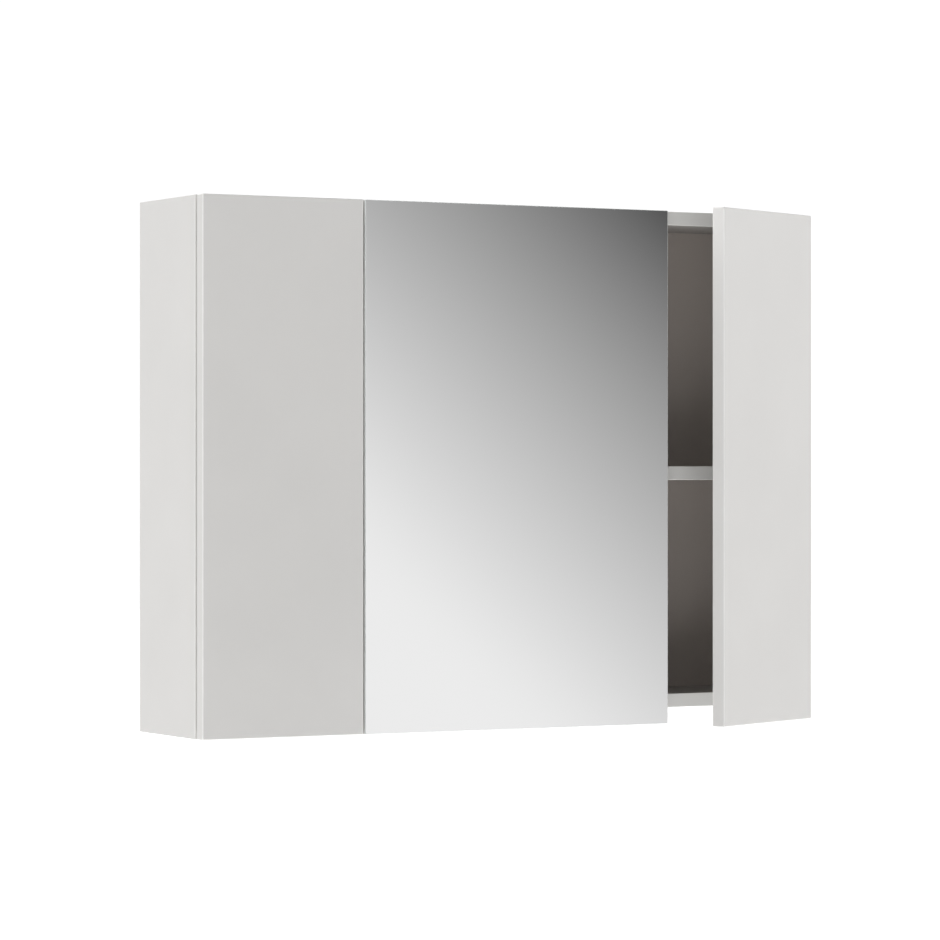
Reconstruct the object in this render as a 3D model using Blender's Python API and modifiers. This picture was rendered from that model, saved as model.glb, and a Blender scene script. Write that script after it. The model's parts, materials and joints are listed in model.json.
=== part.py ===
"""Wall-hung mirror cabinet with three hinged doors. Metres, +Z up, the front faces -Y.

The origin is the middle of the top panel's rear edge, which lies against the wall (plane Y = 0).
The left and mirror doors are closed, and the right door stands ajar.
"""

from math import asin, cos, radians, sin

import bmesh
import bpy
from mathutils import Matrix, Vector

# Overall size and boards
WIDTH = 0.800
HEIGHT = 0.600
CARCASS_DEPTH = 0.150
BOARD = 0.016
BACK_BOARD = 0.003
BACK_GROOVE = 0.005
HANGING_SPACE = 0.016
FINGER_PULL = 0.018
PARTITION_OFFSET = 0.200
SHELF_HEIGHT = 0.285
SHELF_SETBACK = 0.002
SHELF_CLEARANCE = 0.0008
FIT = 0.0003
PANEL_ROUND = 0.0005

# Doors
DOOR = 0.016
DOOR_GAP = 0.0025
DOOR_INSET = 0.001
BUMPER_SPACE = 0.002
DOOR_ROUND = 0.001
GLASS = 0.003
GLASS_INSET = 0.0002
AJAR_ANGLE = radians(26)

# Concealed hinges: each door turns about a vertical axis inside its hinged edge
PIVOT_INSET = 0.0045
PIVOT_DEPTH = 0.005
HINGE_FROM_END = 0.080
CUP_RADIUS = 0.0175
CUP_DEPTH = 0.0105
CUP_WALL = 0.0012
CUP_TAB = 0.005
CUP_RIM = 0.0005
WING_LENGTH = 0.052
WING_WIDTH = 0.018
WING = 0.0008
LINK = 0.002
LINK_WIDTH = 0.010
LINK_CLEARANCE = 0.0004
EYE_RADIUS = 0.0012
EYE_ANGLE = radians(56)
ARM_WIDTH = 0.014
ARM_LENGTH = 0.050
ARM_HEIGHT = 0.007
TONGUE = 0.0024
PLATE = 0.0019
PLATE_LENGTH = 0.036
PLATE_WING = 0.016

# Shelf pins, bumpers and hangers
PIN_RADIUS = 0.0025
PIN_DEPTH = 0.006
PIN_HEAD_RADIUS = 0.0035
PIN_HEAD_LENGTH = 0.007
PIN_FROM_EDGE = 0.030
HOLE_PITCH = 0.032
SPARE_HOLES = 2
BUMPER_RADIUS = 0.004
BUMPER_FROM_EDGE = 0.014
HANGER_WIDTH = 0.034
HANGER_HEIGHT = 0.060
HOOK = 0.002
HOOK_WIDTH = 0.018
HOOK_HEIGHT = 0.030
HOOK_REACH = 0.0062

# Planes that the pieces share
Z_TOP = BOARD / 2
Z_BOTTOM = Z_TOP - HEIGHT
Z_CEILING = Z_TOP - BOARD
Z_FLOOR = Z_BOTTOM + FINGER_PULL + BOARD
Y_CARCASS = -CARCASS_DEPTH
Y_DOOR_BACK = Y_CARCASS - BUMPER_SPACE
Y_FRONT = Y_DOOR_BACK - DOOR
Y_BACK = -HANGING_SPACE - BACK_BOARD
X_SIDE = WIDTH / 2 - BOARD
ROUND_SIDES = 32


def clear_scene():
    for old in list(bpy.data.objects):
        bpy.data.objects.remove(old, do_unlink=True)


def new_collection(name):
    collection = bpy.data.collections.new(name)
    bpy.context.scene.collection.children.link(collection)
    return collection


clear_scene()
PARTS = new_collection("medicine_cabinet")
CUTTERS = new_collection("cutters")


def material(name, color, roughness, metallic=0.0):
    made = bpy.data.materials.new(name)
    made.use_nodes = True
    shader = made.node_tree.nodes["Principled BSDF"]
    shader.inputs["Base Color"].default_value = (*color, 1.0)
    shader.inputs["Roughness"].default_value = roughness
    shader.inputs["Metallic"].default_value = metallic
    made.diffuse_color = (*color, 1.0)
    return made


LACQUER = material("grey_lacquer", (0.62, 0.62, 0.60), 0.35)
CARCASS_BOARD = material("carcass_board", (0.45, 0.44, 0.42), 0.5)
BACK_SHEET = material("back_sheet", (0.40, 0.38, 0.36), 0.6)
MIRROR = material("mirror", (0.90, 0.91, 0.92), 0.03, 1.0)
STEEL = material("nickel_steel", (0.70, 0.70, 0.69), 0.3, 1.0)
CLEAR_PLASTIC = material("bumper_plastic", (0.85, 0.85, 0.84), 0.4)
GREY_PLASTIC = material("hanger_plastic", (0.55, 0.55, 0.55), 0.5)


# Shapes ------------------------------------------------------------------------------------------

def mesh_from(bm, name):
    mesh = bpy.data.meshes.new(name)
    bmesh.ops.recalc_face_normals(bm, faces=bm.faces)
    bm.to_mesh(mesh)
    bm.free()
    return mesh


def box_mesh(name, low, high):
    low, high = Vector(low), Vector(high)
    place = Matrix.Translation((low + high) / 2) @ Matrix.Diagonal((*(high - low), 1.0))
    bm = bmesh.new()
    bmesh.ops.create_cube(bm, size=1.0, matrix=place)
    return mesh_from(bm, name)


def rod_mesh(name, start, end, radius, sides=ROUND_SIDES):
    """A cylinder from one point to another."""
    start, end = Vector(start), Vector(end)
    along = end - start
    turn = along.to_track_quat("Z", "Y").to_matrix().to_4x4()
    bm = bmesh.new()
    bmesh.ops.create_cone(bm, cap_ends=True, segments=sides, radius1=radius, radius2=radius,
                          depth=along.length, matrix=Matrix.Translation((start + end) / 2) @ turn)
    return mesh_from(bm, name)


def plate_mesh(name, outline, width, place):
    """A flat outline in its own XY plane, given a width along its Z, then placed."""
    curve = bpy.data.curves.new(name, "CURVE")
    curve.dimensions = "2D"
    curve.fill_mode = "BOTH"
    curve.extrude = width / 2
    spline = curve.splines.new("POLY")
    spline.points.add(len(outline) - 1)
    for point, (x, y) in zip(spline.points, outline):
        point.co = (x, y, 0.0, 1.0)
    spline.use_cyclic_u = True
    holder = bpy.data.objects.new(name, curve)
    bpy.context.scene.collection.objects.link(holder)
    evaluated = holder.evaluated_get(bpy.context.evaluated_depsgraph_get())
    bm = bmesh.new()
    bm.from_mesh(evaluated.to_mesh())
    bpy.data.objects.remove(holder, do_unlink=True)
    bmesh.ops.remove_doubles(bm, verts=bm.verts, dist=1e-6)
    bmesh.ops.transform(bm, matrix=place, verts=bm.verts)
    return mesh_from(bm, name)


def place_object(name, mesh, parent, collection):
    made = bpy.data.objects.new(name, mesh)
    made.parent = parent
    collection.objects.link(made)
    return made


def part(name, mesh, finish, parent=None, rounding=0.0):
    made = place_object(name, mesh, parent, PARTS)
    mesh.materials.append(finish)
    if rounding:
        bevel = made.modifiers.new("rounded_edges", "BEVEL")
        bevel.width = rounding
        bevel.segments = 2
        bevel.limit_method = "ANGLE"
    return made


def helper(mesh, parent=None):
    """A piece that only shapes others."""
    made = place_object(mesh.name, mesh, parent, CUTTERS)
    made.hide_render = True
    made.display_type = "WIRE"
    return made


def combine(made, tool, operation):
    boolean = made.modifiers.new(tool.name, "BOOLEAN")
    boolean.object = tool
    boolean.operation = operation


def smooth(made):
    made.data.shade_smooth()
    made.data.set_sharp_from_angle(angle=radians(30))


def pivot(name, x, angle):
    """An empty on a door's axis, turned with it."""
    axis = bpy.data.objects.new(name, None)
    axis.location = (x, Y_FRONT + PIVOT_DEPTH, 0.0)
    axis.rotation_euler = (0.0, 0.0, angle)
    PARTS.objects.link(axis)
    return axis


# Carcass -----------------------------------------------------------------------------------------

def build_carcass():
    reach = X_SIDE + BACK_GROOVE
    back_low = (-reach + FIT, Y_BACK, Z_FLOOR - BACK_GROOVE + FIT)
    back_high = (reach - FIT, Y_BACK + BACK_BOARD, Z_CEILING + BACK_GROOVE - FIT)
    part("back_panel", box_mesh("back_panel", back_low, back_high), BACK_SHEET)
    spare = Vector((FIT, FIT, FIT))
    groove = helper(box_mesh("back_groove", Vector(back_low) - spare, Vector(back_high) + spare))

    spans = {
        "left_side_panel": ((-WIDTH / 2, Y_CARCASS, Z_BOTTOM), (-X_SIDE, 0, Z_TOP)),
        "right_side_panel": ((X_SIDE, Y_CARCASS, Z_BOTTOM), (WIDTH / 2, 0, Z_TOP)),
        "top_panel": ((-X_SIDE + FIT, Y_CARCASS, Z_CEILING), (X_SIDE - FIT, 0, Z_TOP)),
        "bottom_panel": ((-X_SIDE + FIT, Y_CARCASS, Z_FLOOR - BOARD), (X_SIDE - FIT, 0, Z_FLOOR)),
    }
    for name, (low, high) in spans.items():
        finish = LACQUER if "side" in name else CARCASS_BOARD
        panel = part(name, box_mesh(name, low, high), finish, rounding=PANEL_ROUND)
        combine(panel, groove, "DIFFERENCE")

    for side, x in (("left", -PARTITION_OFFSET), ("right", PARTITION_OFFSET)):
        low = (x - BOARD / 2, Y_CARCASS, Z_FLOOR + FIT)
        high = (x + BOARD / 2, Y_BACK - FIT, Z_CEILING - FIT)
        name = f"{side}_partition"
        part(name, box_mesh(name, low, high), CARCASS_BOARD, rounding=PANEL_ROUND)


# Shelves on pins ---------------------------------------------------------------------------------

def build_pin(name, wall, wall_x, inward, y):
    """A shelf pin in a row of holes; inward is the X direction from the wall into the compartment."""
    z = Z_BOTTOM + SHELF_HEIGHT - FIT - PIN_HEAD_RADIUS
    root = wall_x - inward * PIN_DEPTH
    neck = wall_x + inward * FIT
    tip = neck + inward * PIN_HEAD_LENGTH
    shank = rod_mesh(name, (root, y, z), (neck + inward * PIN_HEAD_LENGTH / 2, y, z), PIN_RADIUS, 12)
    pin = part(name, shank, STEEL)
    head = helper(rod_mesh(f"{name}_head", (neck, y, z), (tip, y, z), PIN_HEAD_RADIUS, 16))
    combine(pin, head, "UNION")
    smooth(pin)
    row = bmesh.new()
    for step in range(-SPARE_HOLES, SPARE_HOLES + 1):
        height = z + step * HOLE_PITCH
        start = (root - inward * FIT, y, height)
        row.from_mesh(rod_mesh(f"{name}_hole", start, (neck, y, height), PIN_RADIUS + FIT, 12))
    combine(bpy.data.objects[wall], helper(mesh_from(row, f"{name}_holes")), "DIFFERENCE")


def build_shelves():
    half = PARTITION_OFFSET - BOARD / 2
    outer = PARTITION_OFFSET + BOARD / 2
    bays = {
        "left": ("left_side_panel", -X_SIDE, "left_partition", -outer),
        "middle": ("left_partition", -half, "right_partition", half),
        "right": ("right_partition", outer, "right_side_panel", X_SIDE),
    }
    z = Z_BOTTOM + SHELF_HEIGHT
    front, rear = Y_CARCASS + SHELF_SETBACK, Y_BACK - SHELF_CLEARANCE
    for bay, (low_wall, x_low, high_wall, x_high) in bays.items():
        name = f"{bay}_shelf"
        low = (x_low + SHELF_CLEARANCE, front, z)
        high = (x_high - SHELF_CLEARANCE, rear, z + BOARD)
        part(name, box_mesh(name, low, high), CARCASS_BOARD, rounding=PANEL_ROUND)
        for place, y in (("front", front + PIN_FROM_EDGE), ("rear", rear - PIN_FROM_EDGE)):
            build_pin(f"{bay}_shelf_pin_{place}_left", low_wall, x_low, 1, y)
            build_pin(f"{bay}_shelf_pin_{place}_right", high_wall, x_high, -1, y)


# Hinges ------------------------------------------------------------------------------------------
# Each is drawn about the door's axis: x runs towards the door's free edge, y towards the wall.

CUP_X = CUP_TAB + CUP_RADIUS - PIVOT_INSET
BACK_FACE = DOOR - PIVOT_DEPTH
CUP_FLOOR = BACK_FACE - CUP_DEPTH
LINK_INNER = Vector((PIVOT_INSET, BACK_FACE)).length + FIT
LINK_OUTER = LINK_INNER + LINK
LINK_START = asin((CUP_FLOOR + CUP_WALL + FIT) / LINK_INNER)
LINK_END = asin((BACK_FACE + BUMPER_SPACE - FIT) / LINK_OUTER)
TONGUE_TIP = CUP_FLOOR + CUP_WALL + 2 * FIT
TONGUE_X = ((LINK_OUTER + LINK_CLEARANCE) ** 2 - TONGUE_TIP ** 2) ** 0.5
ARM_FRONT = BACK_FACE + BUMPER_SPACE + TONGUE


def wall_distance(axis_x, wall_x, side):
    """How far the wall that carries a hinge's plate stands from the door's axis."""
    return (wall_x - axis_x) * side


def arm_distance(wall):
    """How far the arm's body stands from the axis: behind its tongue, or clear of the plate."""
    return max(TONGUE_X - TONGUE / 2, wall + PLATE + 2 * FIT)


def across(side, z):
    """Places an outline drawn in the hinge's x and y, mirrored for a door hinged on its right."""
    return Matrix.Translation((0, 0, z)) @ Matrix.Diagonal((side, 1, 1, 1))


def build_cup(name, door, axis, side, z):
    x = side * CUP_X
    floor, rim = CUP_FLOOR, BACK_FACE + CUP_RIM
    cup = part(name, rod_mesh(name, (x, floor, z), (x, rim, z), CUP_RADIUS), STEEL, axis)
    wing_low = (x - WING_WIDTH / 2, BACK_FACE + FIT, z - WING_LENGTH / 2)
    wing_high = (x + WING_WIDTH / 2, BACK_FACE + FIT + WING, z + WING_LENGTH / 2)
    combine(cup, helper(box_mesh(f"{name}_wings", wing_low, wing_high), axis), "UNION")
    hollow = rod_mesh(f"{name}_hollow", (x, floor + CUP_WALL, z), (x, rim + CUP_DEPTH, z),
                      CUP_RADIUS - CUP_WALL)
    combine(cup, helper(hollow, axis), "DIFFERENCE")
    reach = LINK_INNER - FIT - EYE_RADIUS
    eye_x, eye_y = reach * cos(EYE_ANGLE) * side, reach * sin(EYE_ANGLE)
    outermost = abs(x - eye_x) + EYE_RADIUS
    half = ((CUP_RADIUS - CUP_WALL / 2) ** 2 - outermost ** 2) ** 0.5
    eye = rod_mesh(f"{name}_eye", (eye_x, eye_y, z - half), (eye_x, eye_y, z + half), EYE_RADIUS, 12)
    combine(cup, helper(eye, axis), "UNION")
    smooth(cup)
    bore = rod_mesh(f"{name}_bore", (x, floor - FIT, z), (x, BACK_FACE + FIT, z), CUP_RADIUS + FIT)
    combine(door, helper(bore, axis), "DIFFERENCE")


def build_link(name, axis, side, z):
    steps = 9
    turn = (LINK_END - LINK_START) / steps
    angles = [LINK_START + turn * step for step in range(steps + 1)]
    outline = [(LINK_OUTER * cos(a), LINK_OUTER * sin(a)) for a in angles]
    outline += [(LINK_INNER * cos(a), LINK_INNER * sin(a)) for a in reversed(angles)]
    link = part(name, plate_mesh(name, outline, LINK_WIDTH, across(side, z)), STEEL, axis)
    smooth(link)


def build_arm(name, axis_x, wall_x, side, z):
    """The arm on the carcass, with a flat tongue that reaches into the cup."""
    tongue_back = TONGUE_X + TONGUE
    near = arm_distance(wall_distance(axis_x, wall_x, side))
    far, end = near + ARM_HEIGHT, ARM_FRONT + ARM_LENGTH
    outline = [(TONGUE_X, TONGUE_TIP), (tongue_back, TONGUE_TIP), (tongue_back, ARM_FRONT),
               (far, ARM_FRONT), (far, end), (near, end),
               (near, ARM_FRONT + TONGUE), (TONGUE_X, ARM_FRONT + TONGUE)]
    place = Matrix.Translation((axis_x, Y_FRONT + PIVOT_DEPTH, 0)) @ across(side, z)
    part(name, plate_mesh(name, outline, ARM_WIDTH, place), STEEL)


def build_plate(name, axis_x, wall_x, side, z):
    """The cross-shaped mounting plate between the arm and the wall that carries it."""
    wall = wall_distance(axis_x, wall_x, side)
    near = wall + FIT
    thick = arm_distance(wall) - FIT - near
    back = ARM_FRONT + ARM_LENGTH - TONGUE
    front = back - PLATE_LENGTH
    wing_front = (front + back - PLATE_WING) / 2
    wing_back = wing_front + PLATE_WING
    low, high = ARM_WIDTH / 2, WING_LENGTH / 2
    edge = [(front, low), (wing_front, low), (wing_front, high),
            (wing_back, high), (wing_back, low), (back, low)]
    outline = edge + [(y, -height) for y, height in reversed(edge)]
    stand = Matrix(((0, 0, side, side * (near + thick / 2)), (1, 0, 0, 0), (0, 1, 0, z), (0, 0, 0, 1)))
    place = Matrix.Translation((axis_x, Y_FRONT + PIVOT_DEPTH, 0)) @ stand
    part(name, plate_mesh(name, outline, thick, place), STEEL)


def build_hinges(door_name, door, axis, link_axis, wall_x, side):
    heights = {"upper": Z_TOP - HINGE_FROM_END, "lower": Z_BOTTOM + HINGE_FROM_END}
    for level, z in heights.items():
        name = f"{door_name}_{level}_hinge"
        build_cup(f"{name}_cup", door, axis, side, z)
        build_link(f"{name}_link", link_axis, side, z)
        build_arm(f"{name}_arm", axis.location.x, wall_x, side, z)
        build_plate(f"{name}_plate", axis.location.x, wall_x, side, z)


# Doors -------------------------------------------------------------------------------------------

def build_bumpers(door_name, axis, free_x):
    """Soft dots on the door's back, which meet the top and bottom panels' front edges."""
    x = free_x - axis.location.x
    start, end = BACK_FACE + FIT, BACK_FACE + BUMPER_SPACE - FIT
    for level, z in (("upper", Z_TOP - BOARD / 2), ("lower", Z_FLOOR - BOARD / 2)):
        name = f"{door_name}_{level}_bumper"
        dot = rod_mesh(name, (x, start, z), (x, end, z), BUMPER_RADIUS, 16)
        part(name, dot, CLEAR_PLASTIC, axis)


def build_doors():
    middle = PARTITION_OFFSET - DOOR_GAP / 2
    outer = WIDTH / 2 - DOOR_INSET
    plans = {
        "left": (-outer, -middle - DOOR_GAP, 1, -X_SIDE, 0.0),
        "mirror": (-middle, middle, 1, -PARTITION_OFFSET + BOARD / 2, 0.0),
        "right": (middle + DOOR_GAP, outer, -1, X_SIDE, AJAR_ANGLE),
    }
    for door_name, (x_low, x_high, side, wall_x, angle) in plans.items():
        hinged_x, free_x = (x_low, x_high) if side > 0 else (x_high, x_low)
        axis = pivot(f"{door_name}_door_axis", hinged_x + side * PIVOT_INSET, angle)
        link_axis = pivot(f"{door_name}_link_axis", hinged_x + side * PIVOT_INSET, angle / 2)
        x_low -= axis.location.x
        x_high -= axis.location.x
        front = -PIVOT_DEPTH
        if door_name == "mirror":
            low = (x_low + GLASS_INSET, front, Z_BOTTOM + GLASS_INSET)
            high = (x_high - GLASS_INSET, front + GLASS, Z_TOP - GLASS_INSET)
            part("mirror_glass", box_mesh("mirror_glass", low, high), MIRROR, axis, PANEL_ROUND)
            front += GLASS + FIT
        name = "mirror_door_board" if door_name == "mirror" else f"{door_name}_door"
        leaf = box_mesh(name, (x_low, front, Z_BOTTOM), (x_high, BACK_FACE, Z_TOP))
        door = part(name, leaf, LACQUER, axis, DOOR_ROUND)
        build_hinges(door_name, door, axis, link_axis, wall_x, side)
        build_bumpers(door_name, axis, free_x - side * BUMPER_FROM_EDGE)


# Hangers in the space behind the back panel ------------------------------------------------------

def build_hanger(name, side):
    outer = side * (X_SIDE - FIT)
    inner = outer - side * HANGER_WIDTH
    front, rear = Y_BACK + BACK_BOARD + FIT, -HOOK_REACH
    top = Z_CEILING - BACK_GROOVE
    low = (min(outer, inner), front, top - HANGER_HEIGHT)
    high = (max(outer, inner), rear, top)
    housing = part(name, box_mesh(name, low, high), GREY_PLASTIC, rounding=PANEL_ROUND)

    x = (outer + inner) / 2
    foot = top - HANGER_HEIGHT / 2
    head = foot + HOOK_HEIGHT / 2
    leg = rear + FIT
    tongue = (front + rear) / 2
    lip = -FIT
    outline = [(tongue, foot - HOOK), (leg + HOOK, foot - HOOK), (leg + HOOK, head - HOOK),
               (lip - HOOK, head - HOOK), (lip - HOOK, head - 3 * HOOK), (lip, head - 3 * HOOK),
               (lip, head), (leg, head), (leg, foot), (tongue, foot)]
    stand = Matrix(((0, 0, 1, x), (1, 0, 0, 0), (0, 1, 0, 0), (0, 0, 0, 1)))
    part(f"{name}_hook", plate_mesh(f"{name}_hook", outline, HOOK_WIDTH, stand), STEEL)
    slot_low = (x - HOOK_WIDTH / 2 - FIT, tongue - FIT, foot - HOOK - FIT)
    slot_high = (x + HOOK_WIDTH / 2 + FIT, rear + FIT, foot + FIT)
    combine(housing, helper(box_mesh(f"{name}_slot", slot_low, slot_high)), "DIFFERENCE")


build_carcass()
build_shelves()
build_doors()
build_hanger("left_hanger", -1)
build_hanger("right_hanger", 1)
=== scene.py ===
"""Looks of the wall-hung mirror cabinet: materials, fine pieces, studio and camera."""

import json
from math import cos, pi, radians, sin

import bmesh
import bpy
from mathutils import Matrix, Vector


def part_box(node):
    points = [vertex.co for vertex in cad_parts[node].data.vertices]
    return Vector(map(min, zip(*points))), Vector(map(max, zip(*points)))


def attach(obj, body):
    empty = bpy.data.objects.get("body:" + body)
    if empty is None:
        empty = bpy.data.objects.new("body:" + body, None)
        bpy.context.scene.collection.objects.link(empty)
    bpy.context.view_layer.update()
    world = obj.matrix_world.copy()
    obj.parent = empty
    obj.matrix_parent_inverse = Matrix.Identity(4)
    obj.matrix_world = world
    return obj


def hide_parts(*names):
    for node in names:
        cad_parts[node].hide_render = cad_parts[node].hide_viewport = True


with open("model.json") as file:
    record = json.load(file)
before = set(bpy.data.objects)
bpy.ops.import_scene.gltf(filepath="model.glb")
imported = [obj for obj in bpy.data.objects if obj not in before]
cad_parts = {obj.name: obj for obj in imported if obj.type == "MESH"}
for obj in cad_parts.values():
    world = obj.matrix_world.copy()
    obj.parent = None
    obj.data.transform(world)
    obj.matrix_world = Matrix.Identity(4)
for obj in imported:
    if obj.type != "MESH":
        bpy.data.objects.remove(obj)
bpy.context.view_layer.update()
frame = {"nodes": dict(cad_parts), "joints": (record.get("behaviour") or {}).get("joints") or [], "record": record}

NODES = frame["nodes"]
RECORD = frame["record"]
BODY_OF = {node: body for body, nodes in RECORD["behaviour"]["bodies"].items() for node in nodes}
JOINTS = {joint["name"]: joint for joint in frame["joints"]}
MM = 0.001


# Material building blocks ------------------------------------------------------------------------

class Nodes:
    """Short names for wiring one material's node tree."""

    def __init__(self, name):
        self.made = bpy.data.materials.new(name)
        self.made.use_nodes = True
        self.tree = self.made.node_tree
        self.shader = self.tree.nodes["Principled BSDF"]
        self.place = self.add("ShaderNodeTexCoord").outputs["Object"]

    def add(self, kind, **settings):
        node = self.tree.nodes.new(kind)
        for key, value in settings.items():
            setattr(node, key, value)
        return node

    def link(self, source, target):
        self.tree.links.new(source, target)

    def noise(self, scale, detail=2.0, roughness=0.5, stretch=(1, 1, 1)):
        """Fine grain in object space; scale is in features per metre."""
        mapping = self.add("ShaderNodeMapping")
        mapping.inputs["Scale"].default_value = stretch
        self.link(self.place, mapping.inputs["Vector"])
        noise = self.add("ShaderNodeTexNoise")
        noise.inputs["Scale"].default_value = scale
        noise.inputs["Detail"].default_value = detail
        noise.inputs["Roughness"].default_value = roughness
        self.link(mapping.outputs["Vector"], noise.inputs["Vector"])
        return noise.outputs["Fac"]

    def span(self, source, low, high):
        """Spreads a noise, which mostly lies between 0.3 and 0.7, over low to high."""
        spread = self.add("ShaderNodeMapRange")
        spread.inputs["From Min"].default_value = 0.3
        spread.inputs["From Max"].default_value = 0.7
        spread.inputs["To Min"].default_value = low
        spread.inputs["To Max"].default_value = high
        self.link(source, spread.inputs["Value"])
        return spread.outputs["Result"]

    def tint(self, source, dark, light):
        """Drives the base colour between two colours."""
        mix = self.add("ShaderNodeMix", data_type="RGBA")
        mix.inputs[6].default_value = (*dark, 1.0)
        mix.inputs[7].default_value = (*light, 1.0)
        self.link(self.span(source, 0, 1), mix.inputs[0])
        self.link(mix.outputs[2], self.shader.inputs["Base Color"])

    def rough(self, source, middle, spread):
        self.link(self.span(source, middle - spread, middle + spread), self.shader.inputs["Roughness"])

    def bump(self, source, distance, strength):
        bump = self.add("ShaderNodeBump")
        bump.inputs["Distance"].default_value = distance
        bump.inputs["Strength"].default_value = strength
        self.link(source, bump.inputs["Height"])
        self.link(bump.outputs["Normal"], self.shader.inputs["Normal"])

    def set(self, **values):
        for key, value in values.items():
            self.shader.inputs[key.replace("_", " ")].default_value = value


def shade(color, factor):
    return tuple(channel * factor for channel in color)


def lacquer(name, color, roughness):
    """Sprayed satin lacquer: faint orange peel, and a slow drift in tone and sheen."""
    n = Nodes(name)
    n.tint(n.noise(9, detail=3), shade(color, 0.985), shade(color, 1.015))
    n.rough(n.noise(140, detail=4), roughness, 0.03)
    n.bump(n.noise(420, detail=1.5), 0.03 * MM, 0.35)
    n.set(Coat_Weight=0.15, Coat_Roughness=0.25)
    return n.made


def melamine(name, color, roughness):
    """Coated board: a pearl texture of fine pits with slight specks."""
    n = Nodes(name)
    n.tint(n.noise(1100), shade(color, 0.95), shade(color, 1.04))
    n.rough(n.noise(300, detail=3), roughness, 0.06)
    n.bump(n.noise(900), 0.06 * MM, 0.5)
    return n.made


def mirror_silver():
    """Silvered glass: nearly flawless, with a breath of haze."""
    n = Nodes("mirror_silver")
    n.set(Base_Color=(0.93, 0.93, 0.93, 1.0), Metallic=1.0)
    n.rough(n.noise(14, detail=4), 0.008, 0.004)
    return n.made


def polished_edge():
    """The ground and polished rim of the glass: pale, faintly green, with fine grinding marks."""
    n = Nodes("polished_glass_edge")
    n.tint(n.noise(90, detail=3), (0.78, 0.82, 0.80), (0.90, 0.92, 0.91))
    n.rough(n.noise(1600, stretch=(1, 1, 0.05)), 0.12, 0.06)
    n.set(Coat_Weight=1.0, Coat_Roughness=0.03, IOR=1.52)
    return n.made


def backing_paint():
    """The grey protective paint on the back of the mirror."""
    n = Nodes("mirror_backing_paint")
    n.tint(n.noise(60, detail=4), (0.17, 0.175, 0.18), (0.21, 0.215, 0.22))
    n.rough(n.noise(500), 0.6, 0.08)
    n.bump(n.noise(700), 0.03 * MM, 0.5)
    return n.made


def metal(name, color, roughness, stretch=(1, 1, 1)):
    """Plated steel with fine drawn or tumbled marks."""
    n = Nodes(name)
    n.set(Metallic=1.0)
    marks = n.noise(700, detail=4, stretch=stretch)
    n.tint(marks, shade(color, 0.96), shade(color, 1.02))
    n.rough(marks, roughness, 0.03)
    n.bump(marks, 0.005 * MM, 0.1)
    return n.made


def plastic(name, color, roughness):
    """Moulded plastic with a fine eroded skin."""
    n = Nodes(name)
    grain = n.noise(1500)
    n.tint(grain, shade(color, 0.96), shade(color, 1.03))
    n.rough(n.noise(500), roughness, 0.05)
    n.bump(grain, 0.02 * MM, 0.5)
    return n.made


def clear_plastic(name):
    """Soft clear polyurethane, as self-adhesive door dots are cast from."""
    n = Nodes(name)
    n.tint(n.noise(800), (0.86, 0.86, 0.85), (0.92, 0.92, 0.91))
    n.rough(n.noise(400), 0.12, 0.04)
    n.set(Transmission_Weight=0.7, IOR=1.48)
    return n.made


GREY = (0.70, 0.69, 0.675)
# The paler grey is a painted highlight: the rounded door and side-panel edges are made lighter to stand in for the
# light they catch.
PAINTED_HIGHLIGHT_GREY = (0.86, 0.855, 0.84)
DOOR_LACQUER = lacquer("door_lacquer", GREY, 0.38)
SIDE_LACQUER = lacquer("side_lacquer", GREY, 0.38)
ARRIS_PAINTED_HIGHLIGHT = lacquer("arris_painted_highlight", PAINTED_HIGHLIGHT_GREY, 0.34)
# The carcass board is the board's warm grey, darkened well below the outside grey as painted shade for the
# shadowed interior.
BOARD_PAINTED_SHADE = melamine("carcass_board", (0.38, 0.362, 0.345), 0.5)
CORE = melamine("board_core", (0.40, 0.33, 0.26), 0.85)
EDGE_BAND = lacquer("edge_band", (0.69, 0.685, 0.665), 0.45)
# The near-white band arrises are a painted highlight that lifts the shadowed shelf and panel front edges.
EDGE_BAND_PAINTED_HIGHLIGHT = lacquer("edge_band_painted_highlight", (0.93, 0.925, 0.90), 0.3)
BACK = melamine("back_sheet", (0.535, 0.485, 0.452), 0.6)
SILVER = mirror_silver()
GLASS_EDGE = polished_edge()
BACKING = backing_paint()
NICKEL = metal("nickel_plate", (0.83, 0.82, 0.80), 0.25, (1, 0.15, 1))
ZINC = metal("zinc_plate", (0.74, 0.75, 0.76), 0.38)
SCREW = metal("screw_zinc", (0.76, 0.77, 0.79), 0.3)
GREY_PLASTIC = plastic("hanger_plastic", (0.50, 0.50, 0.49), 0.5)
CLEAR_PLASTIC = clear_plastic("bumper_plastic")


# Shapes ------------------------------------------------------------------------------------------

UPRIGHT = Matrix(((1, 0, 0, 0), (0, 0, 1, 0), (0, -1, 0, 0), (0, 0, 0, 1)))
ALONG_X = Matrix(((0, 0, 1, 0), (0, 1, 0, 0), (-1, 0, 0, 0), (0, 0, 0, 1)))
CORNER_STEPS = 5
SMOOTH_ANGLE = radians(50)


def finished(bm, name):
    bmesh.ops.recalc_face_normals(bm, faces=bm.faces)
    mesh = bpy.data.meshes.new(name)
    bm.to_mesh(mesh)
    bm.free()
    mesh.shade_smooth()
    mesh.set_sharp_from_angle(angle=SMOOTH_ANGLE)
    return mesh


def arc(centre, radius, start, end, steps=CORNER_STEPS):
    """Points along an arc, with its angles in degrees."""
    turns = [radians(start + (end - start) * step / steps) for step in range(steps + 1)]
    return [(centre[0] + radius * cos(turn), centre[1] + radius * sin(turn)) for turn in turns]


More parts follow.
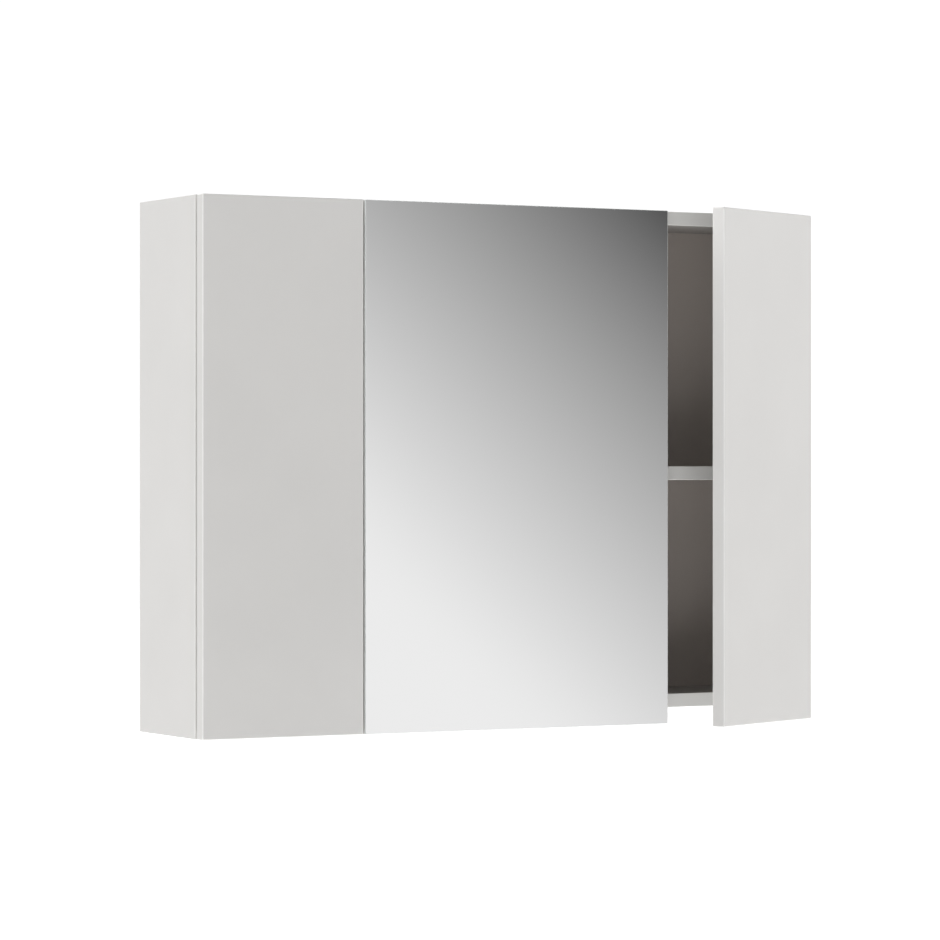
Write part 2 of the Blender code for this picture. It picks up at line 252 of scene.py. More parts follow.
def lathe(name, profile, sides=40):
    """Turns (radius, height) points, which begin and end on the axis, about Z."""
    bm = bmesh.new()
    points = [bm.verts.new((radius, 0.0, height)) for radius, height in profile]
    edges = [bm.edges.new(pair) for pair in zip(points, points[1:])]
    bmesh.ops.spin(bm, geom=points + edges, cent=(0, 0, 0), axis=(0, 0, 1), angle=2 * pi,
                   steps=sides, use_duplicate=False)
    bmesh.ops.remove_doubles(bm, verts=bm.verts, dist=1e-6)
    return finished(bm, name)


def slab(name, outline, thickness, soften=0.0):
    """A flat outline with a thickness along +Z, its rims softened."""
    bm = bmesh.new()
    face = bm.faces.new([bm.verts.new((x, y, 0.0)) for x, y in outline])
    grown = bmesh.ops.extrude_face_region(bm, geom=[face])
    lifted = [item for item in grown["geom"] if isinstance(item, bmesh.types.BMVert)]
    bmesh.ops.translate(bm, verts=lifted, vec=(0, 0, thickness))
    if soften:
        rims = [edge for edge in bm.edges if abs(edge.verts[0].co.z - edge.verts[1].co.z) < 1e-7]
        bmesh.ops.bevel(bm, geom=rims, offset=soften, segments=3, profile=0.5, affect="EDGES")
    return finished(bm, name)


def rounded(low, high, radius):
    """A rectangle's outline with round corners."""
    (x0, y0), (x1, y1) = low, high
    corners = [((x1 - radius, y0 + radius), -90), ((x1 - radius, y1 - radius), 0),
               ((x0 + radius, y1 - radius), 90), ((x0 + radius, y0 + radius), 180)]
    return [point for centre, start in corners for point in arc(centre, radius, start, start + 90)]


def block(name, low, high, soften=0.0):
    low, high = Vector(low), Vector(high)
    bm = bmesh.new()
    place = Matrix.Translation((low + high) / 2) @ Matrix.Diagonal((*(high - low), 1.0))
    bmesh.ops.create_cube(bm, size=1.0, matrix=place)
    if soften:
        bmesh.ops.bevel(bm, geom=bm.edges, offset=soften, segments=3, profile=0.5, affect="EDGES")
    return finished(bm, name)


def carve(mesh, *tools, operation="DIFFERENCE"):
    """Cuts the tools out of a mesh, or joins them to it, and returns the new mesh."""
    made = bpy.data.objects.new("carving", mesh)
    bpy.context.scene.collection.objects.link(made)
    helpers = []
    for tool in tools:
        helper = bpy.data.objects.new("tool", tool)
        bpy.context.scene.collection.objects.link(helper)
        helpers.append(helper)
        boolean = made.modifiers.new("carve", "BOOLEAN")
        boolean.object = helper
        boolean.operation = operation
    evaluated = made.evaluated_get(bpy.context.evaluated_depsgraph_get())
    result = bpy.data.meshes.new_from_object(evaluated)
    result.name = mesh.name
    for old in (made, *helpers):
        bpy.data.objects.remove(old, do_unlink=True)
    result.shade_smooth()
    result.set_sharp_from_angle(angle=SMOOTH_ANGLE)
    return result


def moved(mesh, matrix):
    """A copy of a mesh in another place; a mirrored copy keeps its faces pointing out."""
    copy = mesh.copy()
    copy.transform(matrix)
    if matrix.determinant() < 0:
        copy.flip_normals()
    return copy


def joined(name, groups):
    """One mesh from (mesh, place, material index) groups, each a closed shell."""
    bm = bmesh.new()
    for mesh, place, index in groups:
        before = len(bm.faces)
        bm.from_mesh(moved(mesh, place))
        bm.faces.ensure_lookup_table()
        for face in bm.faces[before:]:
            face.material_index = index
    mesh = bpy.data.meshes.new(name)
    bm.to_mesh(mesh)
    bm.free()
    return mesh


AJAR_PIECES = []


def piece(name, mesh, node, *looks):
    """A visible piece that stands for a CAD node, on its body and with its materials."""
    made = bpy.data.objects.new(name, mesh)
    bpy.context.scene.collection.objects.link(made)
    for look in looks:
        mesh.materials.append(look)
    if BODY_OF[node] == "right_door":
        AJAR_PIECES.append(made)
    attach(made, BODY_OF[node])
    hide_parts(node)
    return made


def local_points(node, place):
    """A CAD node's points as a hinge's or another local frame sees them."""
    back = place.inverted()
    return [back @ vertex.co for vertex in NODES[node].data.vertices]


def corners_of(points):
    low = Vector([min(point[axis] for point in points) for axis in range(3)])
    high = Vector([max(point[axis] for point in points) for axis in range(3)])
    return low, high


# Boards and doors --------------------------------------------------------------------------------

def weigh_normals(made):
    """Keeps the flat faces flat where they meet the rounded arrises."""
    weighted = made.modifiers.new("weighted_normals", "WEIGHTED_NORMAL")
    weighted.keep_sharp = True


def copy_of(node, name):
    mesh = NODES[node].data.copy()
    mesh.name = name
    mesh.materials.clear()
    mesh.shade_smooth()
    mesh.set_sharp_from_angle(angle=SMOOTH_ANGLE)
    return mesh


def make_board(node, looks, look_of):
    """A board finished by the way its faces point, in its own axes, and raw in its bores and grooves."""
    name = f"{node}_board"
    mesh = copy_of(node, name)
    joint_name = f"{node}_hinge"
    squared = Matrix.Identity(3)
    if joint_name in JOINTS:
        squared = hinge_frame(joint_name)[1].to_3x3().inverted()
    low, high = corners_of([squared @ vertex.co for vertex in mesh.vertices])
    for face in mesh.polygons:
        centre = squared @ face.center
        raw = min(*(centre - low), *(high - centre)) > MM
        face.material_index = len(looks) if raw else look_of(squared @ face.normal)
    weigh_normals(piece(name, mesh, node, *looks, CORE))


def is_arris(normal):
    """Whether a face lies on a rounded edge, which gets a paler lacquer as a painted highlight."""
    return max(abs(value) for value in normal) < 0.99


def band_look(normal):
    """Bare coated board (darkened as painted shade), the band glued on its front edge, or the band's rounded
    arrises (paler as a painted highlight).
    """
    if normal.y > -0.1:
        return 0
    return 1 if normal.y < -0.99 else 2


def make_boards():
    # Inner faces take the darkened board as painted shade; rounded edges take the paler lacquer as a painted
    # highlight.
    for node, inward in (("left_side_panel", 1), ("right_side_panel", -1)):
        make_board(node, (SIDE_LACQUER, BOARD_PAINTED_SHADE, ARRIS_PAINTED_HIGHLIGHT),
                   lambda normal: 1 if normal.x * inward > 0.99 else 2 * is_arris(normal))
    # Outer faces in grey lacquer; the rest in the darkened board (painted shade) and the edge band, with its paler
    # arrises as a painted highlight.
    for node, outward in (("top_panel", 1), ("bottom_panel", -1)):
        make_board(node, (BOARD_PAINTED_SHADE, EDGE_BAND, EDGE_BAND_PAINTED_HIGHLIGHT, SIDE_LACQUER),
                   lambda normal: 3 if normal.z * outward > 0.99 else band_look(normal))
    for node in ("left_partition", "right_partition", "left_shelf", "middle_shelf", "right_shelf"):
        make_board(node, (BOARD_PAINTED_SHADE, EDGE_BAND, EDGE_BAND_PAINTED_HIGHLIGHT), band_look)
    make_board("back_panel", (BACK,), lambda normal: 0)
    # Door fronts in grey lacquer, their rounded edges in the paler lacquer as a painted highlight.
    for node in ("left_door", "right_door", "mirror_door_board"):
        make_board(node, (DOOR_LACQUER, ARRIS_PAINTED_HIGHLIGHT), lambda normal: int(is_arris(normal)))


GLASS_ROUND = 0.6 * MM


def make_mirror():
    """The pane: silver behind its face, polished round edges, painted back."""
    low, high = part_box("mirror_glass")
    mesh = block("mirror_pane", low, high, GLASS_ROUND)
    for face in mesh.polygons:
        if face.normal.y < -0.99:
            face.material_index = 0
        elif face.normal.y > 0.99:
            face.material_index = 2
        else:
            face.material_index = 1
    pane = piece("mirror_pane", mesh, "mirror_glass", SILVER, GLASS_EDGE, BACKING)
    weigh_normals(pane)


# Screws ------------------------------------------------------------------------------------------

SCREW_NECK = 0.3 * MM
DOME_ANGLES = (0, 18, 36, 54, 72)


def cross_recess(radius, depth, top):
    """The two blades of a cross-head driver, to be cut from a screw head."""
    reach, half = radius * 0.62, radius * 0.13
    spans = (((-reach, -half), (reach, half)), ((-half, -reach), (half, reach)))
    return [block("blade", (*low, top - depth), (*high, top + depth)) for low, high in spans]


def screw_head(name, radius, height, rim):
    """A domed head of this radius with an upright rim, standing on Z = 0."""
    dome = [(radius * cos(radians(angle)), rim + (height - rim) * sin(radians(angle)))
            for angle in DOME_ANGLES]
    profile = [(0.0, -SCREW_NECK), (radius * 0.9, -SCREW_NECK), (radius, 0.0), *dome, (0.0, height)]
    return carve(lathe(name, profile, 28), *cross_recess(radius, height * 0.55, height))


FLAT_SCREW = screw_head("flat_screw", 3.1 * MM, 0.45 * MM, 0.1 * MM)
PAN_SCREW = screw_head("pan_screw", 3.4 * MM, 1.5 * MM, 0.6 * MM)
SMALL_SCREW = screw_head("small_screw", 2.4 * MM, 0.9 * MM, 0.4 * MM)


# Hinges ------------------------------------------------------------------------------------------
# Each is made in its own frame: x runs to the door's free edge, y to the wall, from the door's axis.

CUP_RADIUS = 17.5 * MM
CUP_WALL = 1.1 * MM
CUP_BEND = 2.0 * MM
CUP_BEAD = 0.5 * MM
LIP = 0.4 * MM
LIP_REACH = 0.9 * MM
EAR = 0.8 * MM
EAR_WIDTH = 17.0 * MM
EAR_CORNER = 5.0 * MM
EAR_SCREW = 21.5 * MM
FINE = 0.1 * MM
EYE_RADIUS = 1.2 * MM
EYE_ANGLE = radians(56)
RIVET_RADIUS = 0.7 * MM
RIVET_HEAD = 0.35 * MM
RIVET_SETBACK = radians(8)
LINK_ROUND = 0.25 * MM
ARM_WALL = 1.3 * MM
ARM_SLOPE = 7.0 * MM
ARM_HIP = 2.5 * MM
ARM_ROUND = 0.5 * MM
CROWN_DROP = 0.9 * MM
TONGUE_HALF = 4.4 * MM
SLOT_SETBACK = 8.0 * MM
CLAMP_SETBACK = 10.0 * MM
ADJUSTER_SETBACK = 29.0 * MM
PLATE_CORNER = 4.0 * MM
PLATE_HOLLOW = 1.6 * MM
PLATE_ROUND = 0.35 * MM
PLATE_SCREW = 16.0 * MM
FIT = 0.3 * MM


def hinge_frame(joint_name):
    """Where a hinge's pieces stand at rest, and how far the door is turned there."""
    joint = JOINTS[joint_name]
    axis = Vector(joint["pos_m"])
    side = -joint["axis"][2]
    turned = radians(joint["range_deg"][0]) * side
    return Matrix.Translation((axis.x, axis.y, 0.0)), Matrix.Rotation(turned, 4, "Z"), side


def cup_mesh(rim, ear_top, ear_length):
    """The pressed cup with its rolled lip and two ears; the floor's middle is at the origin."""
    lip_radius = CUP_RADIUS + LIP_REACH
    inside = CUP_RADIUS - CUP_WALL
    profile = [(0.0, 0.0), *arc((CUP_RADIUS - CUP_BEND, CUP_BEND), CUP_BEND, -90, 0),
               (CUP_RADIUS, rim - LIP), (lip_radius - FINE, rim - LIP), (lip_radius, rim - LIP + FINE),
               (lip_radius, rim - FINE), (lip_radius - FINE, rim),
               *arc((inside + CUP_BEAD, rim - CUP_BEAD), CUP_BEAD, 90, 180),
               *reversed(arc((inside - CUP_BEND, CUP_WALL + CUP_BEND), CUP_BEND, -90, 0)),
               (0.0, CUP_WALL)]
    pot = lathe("cup_pot", profile, 64)
    outline = rounded((-EAR_WIDTH / 2, -ear_length / 2), (EAR_WIDTH / 2, ear_length / 2), EAR_CORNER)
    ears = moved(slab("cup_ears", outline, EAR - FINE, 0.2 * MM), Matrix.Translation((0, 0, ear_top - EAR)))
    mouth = CUP_RADIUS - 0.3 * MM
    opening = lathe("cup_opening", [(0.0, 0.0), (mouth, 0.0), (mouth, 2 * ear_top), (0.0, 2 * ear_top)], 64)
    return pot, carve(ears, opening)


def make_cup(hinge, place, link_inner):
    """The cup let into the door, screwed on by its ears, with the rod that the link turns about."""
    node = f"{hinge}_cup"
    points = local_points(node, place)
    low, high = corners_of(points)
    middle = (low + high) / 2
    rim = max(point.y for point in points if point.x < low.x + CUP_WALL)
    ear_top = high.y - low.y
    pot, ears = cup_mesh(rim - low.y, ear_top, high.z - low.z)
    base = place @ Matrix.Translation((middle.x, low.y, middle.z)) @ UPRIGHT
    groups = [(pot, base, 0), (ears, base, 0)]
    for end in (-1, 1):
        spot = Matrix.Translation((0, end * EAR_SCREW, ear_top - FINE))
        groups.append((FLAT_SCREW, base @ spot, 1))
    reach = link_inner - FIT - EYE_RADIUS
    eye = Vector((reach * cos(EYE_ANGLE), reach * sin(EYE_ANGLE), middle.z))
    outermost = abs(eye.x - middle.x) + EYE_RADIUS
    half = ((CUP_RADIUS - CUP_WALL / 2) ** 2 - outermost ** 2) ** 0.5
    rod = lathe("eye_rod", [(0.0, -half), (EYE_RADIUS, -half), (EYE_RADIUS, half), (0.0, half)], 20)
    groups.append((rod, place @ Matrix.Translation(eye), 1))
    mesh = joined(f"{node}_pressing", groups)
    piece(mesh.name, mesh, node, NICKEL, SCREW)


def make_link(hinge, place):
    """The curved link, with softened edges and a rivet through each end."""
    node = f"{hinge}_link"
    points = local_points(node, place)
    low, high = corners_of(points)
    radii = [point.xy.length for point in points]
    middle = (min(radii) + max(radii)) / 2
    turns = [point.xy.angle_signed(Vector((1, 0))) for point in points]
    span = high.z - low.z
    profile = [(0.0, -RIVET_HEAD), (RIVET_RADIUS * 0.7, -RIVET_HEAD), (RIVET_RADIUS, -RIVET_HEAD / 2),
               (RIVET_RADIUS, span + RIVET_HEAD / 2), (RIVET_RADIUS * 0.7, span + RIVET_HEAD),
               (0.0, span + RIVET_HEAD)]
    rivet = lathe("rivet", profile, 16)
    groups = [(copy_of(node, "link_plate"), Matrix(), 0)]
    for turn in (min(turns) + RIVET_SETBACK, max(turns) - RIVET_SETBACK):
        spot = Matrix.Translation((middle * cos(turn), middle * sin(turn), low.z))
        groups.append((rivet, place @ spot, 1))
    mesh = joined(f"{node}_pressing", groups)
    made = piece(mesh.name, mesh, node, NICKEL, SCREW)
    soften(made, LINK_ROUND)
    return min(radii)


def soften(made, width):
    """Rounds a piece's sharp edges."""
    bevel = made.modifiers.new("soft_edges", "BEVEL")
    bevel.width = width
    bevel.segments = 3
    bevel.limit_method = "ANGLE"
    bevel.angle_limit = radians(40)
    bevel.harden_normals = True


def make_arm(hinge, place):
    """A channel of pressed steel with a slotted crown, two screws and a flat tongue."""
    node = f"{hinge}_arm"
    points = local_points(node, place)
    low, high = corners_of(points)
    rear = [point for point in points if point.y > high.y - 0.1 * MM]
    tip = [point for point in points if point.y < low.y + 0.1 * MM]
    near, far = min(point.x for point in rear), max(point.x for point in rear)
    tongue = max(point.x for point in tip)
    tongue_face = min(point.x for point in tip)
    front = min(point.y for point in points if point.x > far - 0.1 * MM)
    crown = far - CROWN_DROP
    shoulder = front + ARM_SLOPE + ARM_HIP
    bend = tongue - tongue_face
    outline = [(tongue_face, low.y), (tongue, low.y), (tongue, front + 0.5 * MM),
               (near + ARM_HIP, front + MM), (crown - ARM_HIP / 2, front + ARM_SLOPE), (crown, shoulder),
               (crown, high.y), (near, high.y), (near, front + bend), (tongue_face, front + bend)]
    width = high.z - low.z
    body = moved(slab("arm_body", outline, width, ARM_ROUND), Matrix.Translation((0, 0, low.z)))
    hollow = block("arm_hollow", (near - MM, shoulder, low.z + ARM_WALL),
                   (crown - ARM_WALL, high.y + MM, high.z - ARM_WALL))
    middle = (low.z + high.z) / 2
    narrow = [block("tongue_side", (tongue_face - MM, low.y - MM, start),
                    (tongue + 0.2 * MM, front - 0.5 * MM, end))
              for start, end in ((low.z - MM, middle - TONGUE_HALF), (middle + TONGUE_HALF, high.z + MM))]
    slot = moved(slab("crown_slot", rounded((-9 * MM, -2.2 * MM), (4 * MM, 2.2 * MM), 2.1 * MM), 4 * MM),
                 place_on_crown(crown - 3 * MM, high.y - SLOT_SETBACK, middle))
    body = carve(body, hollow, *narrow, slot)
    groups = [(body, place, 0)]
    for screw, setback, sunk in ((PAN_SCREW, CLAMP_SETBACK, 0.7 * MM),
                                 (SMALL_SCREW, ADJUSTER_SETBACK, 0.05 * MM)):
        groups.append((screw, place @ place_on_crown(crown - sunk, high.y - setback, middle), 1))
    mesh = joined(f"{node}_channel", groups)
    piece(mesh.name, mesh, node, NICKEL, SCREW)


def place_on_crown(x, y, z):
    """Stands a piece's Z axis along a hinge's +x, with its X axis along the hinge's y."""
    return Matrix(((0, 0, 1, x), (1, 0, 0, y), (0, 1, 0, z), (0, 0, 0, 1)))


def make_plate(hinge, place):
    """The cross-shaped plate, its corners rounded, with a pan-head screw in each wing."""
    node = f"{hinge}_plate"
    points = local_points(node, place)
    low, high = corners_of(points)
    middle = (low.z + high.z) / 2
    wing_points = [point.y for point in points if point.z > high.z - 0.1 * MM]
    body_points = [point.z for point in points if point.y > high.y - 0.1 * MM]
    wing_front, wing_back = min(wing_points), max(wing_points)
    half = (max(body_points) - min(body_points)) / 2
    tip, corner, hollow = high.z - middle, PLATE_CORNER, PLATE_HOLLOW
    quarter = [(low.y, half)]
    quarter += arc((wing_front - hollow, half + hollow), hollow, -90, 0, 3)
    quarter += reversed(arc((wing_front + corner, tip - corner), corner, 90, 180))
    quarter += reversed(arc((wing_back - corner, tip - corner), corner, 0, 90))
    quarter += arc((wing_back + hollow, half + hollow), hollow, 180, 270, 3)
    quarter += [(high.y, half)]
    outline = quarter + [(y, -z) for y, z in reversed(quarter)]
    thick = high.x - low.x
    stand = place_on_crown(low.x, 0.0, middle)
    groups = [(slab("plate_cross", outline, thick, PLATE_ROUND), place @ stand, 0)]
    for end in (-1, 1):
        spot = place_on_crown(high.x - 0.05 * MM, (wing_front + wing_back) / 2, middle + end * PLATE_SCREW)
        groups.append((PAN_SCREW, place @ spot, 1))
    mesh = joined(f"{node}_cross", groups)
    piece(mesh.name, mesh, node, NICKEL, SCREW)


def make_hinges():
    for door in ("left", "mirror", "right"):
        stand, turned, side = hinge_frame(f"{door}_door_hinge")
        link_turned = hinge_frame(f"{door}_link_turn")[1]
        hand = Matrix.Diagonal((side, 1, 1, 1))
        for level in ("upper", "lower"):
            hinge = f"{door}_{level}_hinge"
            link_inner = make_link(hinge, stand @ link_turned @ hand)
            make_cup(hinge, stand @ turned @ hand, link_inner)
            make_arm(hinge, stand @ hand)
            make_plate(hinge, stand @ hand)


# Shelf pins, bumpers and hangers -----------------------------------------------------------------

SHANK_SHARE = 1 / 1.4
PEG_LENGTH = 7.0 * MM
COLLAR_LENGTH = 1.4 * MM
PIN_FINE = 0.35 * MM
SKIRT_SHARE = 0.25
GLUE_SHARE = 0.97
RIB = 2.4 * MM
POCKET_DEPTH = 4.0 * MM
POCKET_ROUND = 0.4 * MM
HOOK_ROUND = 0.35 * MM


def make_pins():
    """Turned pins: a shank in its hole, a collar on the wall and a grooved peg under the shelf."""
    for node in [name for name in NODES if "_shelf_pin_" in name]:
        low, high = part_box(node)
        radius, length = (high.z - low.z) / 2, high.x - low.x
        shank, fine = radius * SHANK_SHARE, PIN_FINE
        root = length - PEG_LENGTH
        collar = root + COLLAR_LENGTH
        profile = [(0.0, 0.0), (shank - fine, 0.0), (shank, fine), (shank, root), (radius - fine, root),
                   (radius, root + fine), (radius, collar - fine), (radius - fine, collar),
                   (radius - 0.5 * MM, collar + fine), (radius - fine, collar + 2 * fine),
                   (radius, collar + 3 * fine), (radius, length - 2 * fine),
                   *arc((radius - 2 * fine, length - 2 * fine), 2 * fine, 0, 90, 3), (0.0, length)]
        outward = 1 if node.endswith("_left") else -1
        start = low.x if outward > 0 else high.x
        place = Matrix.Translation((start, (low.y + high.y) / 2, (low.z + high.z) / 2))
        turn = Matrix.Diagonal((outward, 1, 1, 1)) @ ALONG_X
        mesh = joined(f"{node}_turned", [(lathe("pin", profile, 28), place @ turn, 0)])
        piece(mesh.name, mesh, node, NICKEL)


def make_bumpers():
    """Domed dots with a flat glued face."""
    for node in [name for name in NODES if name.endswith("_bumper")]:
        door = node.split("_")[0]
        stand, turned, side = hinge_frame(f"{door}_door_hinge")
        place = stand @ turned
        low, high = corners_of(local_points(node, place))
        radius, height = (high.z - low.z) / 2, high.y - low.y
        skirt = SKIRT_SHARE * height
        dome = [(radius * cos(radians(turn)), skirt + (height - skirt) * sin(radians(turn)))
                for turn in range(0, 90, 10)]
        dot = lathe("dot", [(0.0, 0.0), (radius * GLUE_SHARE, 0.0), *dome, (0.0, height)], 32)
        spot = Matrix.Translation(((low.x + high.x) / 2, low.y, (low.z + high.z) / 2)) @ UPRIGHT
        mesh = joined(f"{node}_dome", [(dot, place @ spot, 0)])
        piece(mesh.name, mesh, node, CLEAR_PLASTIC)


def make_hangers():
    """Moulded housings with weight-saving pockets and two adjusting screws, and their steel hooks."""
    for node in ("left_hanger", "right_hanger"):
        low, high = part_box(node)
        hook_low, hook_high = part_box(f"{node}_hook")
        deepest = high.y - POCKET_DEPTH
        pockets = []
        for bottom, top in ((low.z + RIB, hook_low.z - 2 * RIB), (hook_low.z + 3 * RIB, high.z - RIB)):
            for left, right in ((low.x + RIB, hook_low.x - RIB / 2), (hook_high.x + RIB / 2, high.x - RIB)):
                pockets.append(block("pocket", (left, deepest, bottom), (right, high.y + MM, top),
                                     POCKET_ROUND))
        shell = carve(copy_of(node, "hanger_shell"), *pockets)
        under = Matrix.Rotation(pi, 4, "X")
        groups = [(shell, Matrix(), 0)]
        for share in (0.3, 0.7):
            spot = Matrix.Translation((low.x + share * (high.x - low.x), (low.y + high.y) / 2, low.z))
            groups.append((SMALL_SCREW, spot @ under, 1))
        mesh = joined(f"{node}_housing", groups)
        weigh_normals(piece(mesh.name, mesh, node, GREY_PLASTIC, SCREW))
        hook = f"{node}_hook"
        bent = piece(f"{hook}_bent", copy_of(hook, f"{hook}_bent"), hook, ZINC)
        soften(bent, HOOK_ROUND)


make_boards()
make_mirror()
make_hinges()
make_pins()
make_bumpers()
make_hangers()


# Studio ------------------------------------------------------------------------------------------

VIEW_ANGLE = radians(28.67)
LENS = 152.2
CAMERA_PLACE = Vector((-2.2324, -4.1316, -0.2954))
CARD_DISTANCE = 2.5
CARD_SIZE = 2.4
CARD_GRADE = (0.30, -0.16)
CARD_GLOW = (0.12, 0.90)
CARD_DARKEST = 0.08
SHOULDER_WIDTH = 0.12
FADE_START = 0.24
FLOOR_SIZE = 60.0
FLOOR_GLOW = 0.45
FLOOR_HEIGHT = -1.6
AMBIENT = 0.235
BACKDROP = 1.05
BAND_SLOPE = (3.5, 0.0, -8.5)
BAND_STRENGTHS = (0.35, 1.0)
SOFT_LIGHTS = {
    "rear_left": ((-0.72, 0.54, 0.44), 1.45),
    "left": ((-1.0, -0.10, 0.0), 0.84),
    "right": ((0.95, -0.18, -0.15), 2.15),
    "low_front": ((-0.36, -0.68, -0.64), 1.38),
    "below": ((0.0, -0.25, -0.97), 1.8),
    "above": ((0.0, 0.35, 0.94), 1.8),
}
SOFTNESS = radians(40)


def world_light():
    """White behind everything, a dim even surround for the shadows and soft bands for gloss."""
    world = bpy.data.worlds.new("studio")
    bpy.context.scene.world = world
    world.use_nodes = True
    tree = world.node_tree
    tree.nodes.clear()
    link = tree.links.new
    rays = tree.nodes.new("ShaderNodeLightPath")

    def even(strength):
        lit = tree.nodes.new("ShaderNodeBackground")
        lit.inputs["Color"].default_value = (1.0, 1.0, 1.0, 1.0)
        lit.inputs["Strength"].default_value = strength
        return lit.outputs["Background"]

    def banded():
        lit = tree.nodes.new("ShaderNodeBackground")
        towards = tree.nodes.new("ShaderNodeTexCoord").outputs["Generated"]
        slope = tree.nodes.new("ShaderNodeVectorMath")
        slope.operation = "DOT_PRODUCT"
        slope.inputs[1].default_value = BAND_SLOPE
        link(towards, slope.inputs[0])
        wave = tree.nodes.new("ShaderNodeMath")
        wave.operation = "SINE"
        link(slope.outputs["Value"], wave.inputs[0])
        strength = tree.nodes.new("ShaderNodeMapRange")
        strength.inputs["From Min"].default_value = -1.0
        strength.inputs["To Min"].default_value = BAND_STRENGTHS[0]
        strength.inputs["To Max"].default_value = BAND_STRENGTHS[1]
        link(wave.outputs["Value"], strength.inputs["Value"])
        link(strength.outputs["Result"], lit.inputs["Strength"])
        lit.inputs["Color"].default_value = (1.0, 1.0, 1.0, 1.0)
        return lit.outputs["Background"]

    def choose(flag, otherwise, shown):
        mix = tree.nodes.new("ShaderNodeMixShader")
        link(rays.outputs[flag], mix.inputs["Fac"])
        link(otherwise, mix.inputs[1])
        link(shown, mix.inputs[2])
        return mix.outputs["Shader"]

    around = choose("Is Glossy Ray", even(AMBIENT), banded())
    seen = choose("Is Camera Ray", around, even(BACKDROP))
    link(seen, tree.nodes.new("ShaderNodeOutputWorld").inputs["Surface"])


def soft_lights():
    """Broad soft lights all round; the low front one reaches into the open compartment."""
    for name, (towards, strength) in SOFT_LIGHTS.items():
        data = bpy.data.lights.new(name, "SUN")
        data.energy = strength
        data.angle = SOFTNESS
        made = bpy.data.objects.new(name, data)
        made.rotation_euler = Vector(towards).to_track_quat("Z", "Y").to_euler()
        made.visible_glossy = False
        bpy.context.scene.collection.objects.link(made)


def floor():
    """A white floor far below, which lets the surround's light through."""
    bpy.ops.mesh.primitive_plane_add(size=FLOOR_SIZE, location=(0.0, 0.0, FLOOR_HEIGHT))
    plane = bpy.context.object
    plane.name = "studio_floor"
    n = Nodes("floor_paint")
    n.tint(n.noise(3), (0.90, 0.90, 0.90), (0.92, 0.92, 0.92))
    n.set(Roughness=0.9, Emission_Color=(1, 1, 1, 1), Emission_Strength=FLOOR_GLOW)
    plane.data.materials.append(n.made)
    plane.visible_diffuse = False
    plane.visible_glossy = False
    plane.visible_shadow = False


def camera():
    data = bpy.data.cameras.new("camera")
    data.lens = LENS
    data.sensor_width = 36.0
    data.clip_end = 100.0
    made = bpy.data.objects.new("camera", data)
    made.location = CAMERA_PLACE
    made.rotation_euler = (pi / 2, 0.0, -VIEW_ANGLE)
    bpy.context.scene.collection.objects.link(made)
    bpy.context.scene.camera = made


def faded(n, surface):
    """Lets the card melt into the surround towards its rim."""
    size = n.add("ShaderNodeVectorMath", operation="ABSOLUTE")
    n.link(n.place, size.inputs[0])
    split = n.add("ShaderNodeSeparateXYZ")
    n.link(size.outputs["Vector"], split.inputs["Vector"])
    outermost = n.add("ShaderNodeMath", operation="MAXIMUM")
    n.link(split.outputs["X"], outermost.inputs[0])
    n.link(split.outputs["Y"], outermost.inputs[1])
    fade = n.add("ShaderNodeMapRange", interpolation_type="SMOOTHSTEP")
    fade.inputs["From Min"].default_value = FADE_START
    fade.inputs["From Max"].default_value = 0.5
    n.link(outermost.outputs["Value"], fade.inputs["Value"])
    mix = n.add("ShaderNodeMixShader")
    n.link(fade.outputs["Result"], mix.inputs["Fac"])
    n.link(surface, mix.inputs[1])
    n.link(n.add("ShaderNodeBsdfTransparent").outputs["BSDF"], mix.inputs[2])
    return mix.outputs["Shader"]


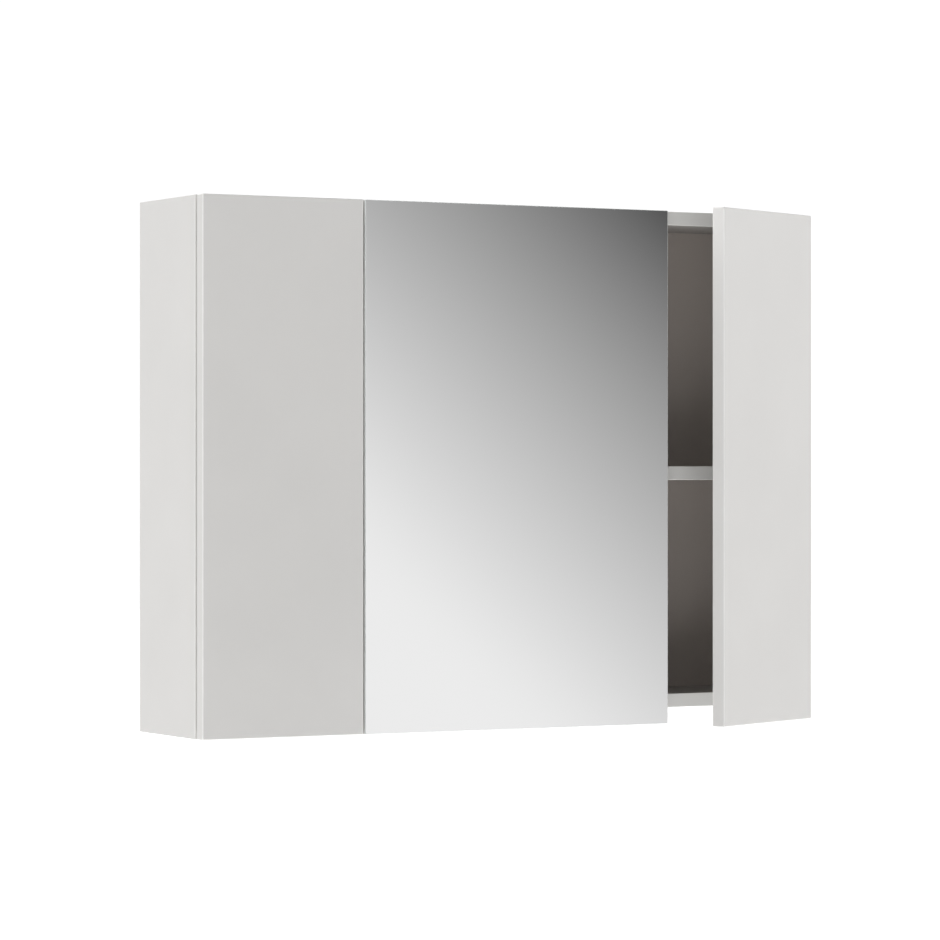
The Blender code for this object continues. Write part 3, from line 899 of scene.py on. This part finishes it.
def mirror_card():
    """A graded card in front of the cabinet, which only the mirror and glossy edges see."""
    low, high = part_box("mirror_glass")
    centre = (low + high) / 2
    towards = Vector((sin(VIEW_ANGLE), -cos(VIEW_ANGLE), 0.0))
    bpy.ops.mesh.primitive_plane_add(size=1.0)
    card = bpy.context.object
    card.name = "graded_card"
    across = Vector((cos(VIEW_ANGLE), sin(VIEW_ANGLE), 0.0))
    up = Vector((0.0, 0.0, 1.0))
    stand = Matrix((across, up, towards)).transposed().to_4x4()
    card.matrix_world = Matrix.Translation(centre + towards * CARD_DISTANCE) @ stand
    card.scale = (CARD_SIZE, CARD_SIZE, 1.0)
    n = Nodes("card_light")
    n.tree.nodes.remove(n.shader)
    split = n.add("ShaderNodeSeparateXYZ")
    n.link(n.place, split.inputs["Vector"])
    fall = n.add("ShaderNodeMath", operation="ADD")
    n.link(split.outputs["X"], fall.inputs[0])
    n.link(split.outputs["Y"], fall.inputs[1])
    ramp = n.add("ShaderNodeMapRange")
    ramp.inputs["From Min"].default_value = CARD_GRADE[0]
    ramp.inputs["From Max"].default_value = CARD_GRADE[1]
    ramp.inputs["To Min"].default_value = CARD_GLOW[0]
    ramp.inputs["To Max"].default_value = CARD_GLOW[1]
    ramp.clamp = False
    n.link(fall.outputs["Value"], ramp.inputs["Value"])
    shoulder = n.add("ShaderNodeMath", operation="SMOOTH_MIN")
    n.link(ramp.outputs["Result"], shoulder.inputs[0])
    shoulder.inputs[1].default_value = CARD_GLOW[1]
    shoulder.inputs[2].default_value = SHOULDER_WIDTH
    shade_limit = n.add("ShaderNodeMath", operation="MAXIMUM")
    n.link(shoulder.outputs["Value"], shade_limit.inputs[0])
    shade_limit.inputs[1].default_value = CARD_DARKEST
    glow = n.add("ShaderNodeEmission")
    n.link(shade_limit.outputs["Value"], glow.inputs["Strength"])
    n.link(faded(n, glow.outputs["Emission"]), n.tree.nodes["Material Output"].inputs["Surface"])
    card.data.materials.append(n.made)
    card.visible_camera = False
    card.visible_diffuse = False
    card.visible_shadow = False
    card.visible_transmission = False


bpy.context.scene.view_settings.view_transform = "Standard"
world_light()
floor()
soft_lights()
camera()
mirror_card()
for made in AJAR_PIECES:
    made.visible_glossy = False
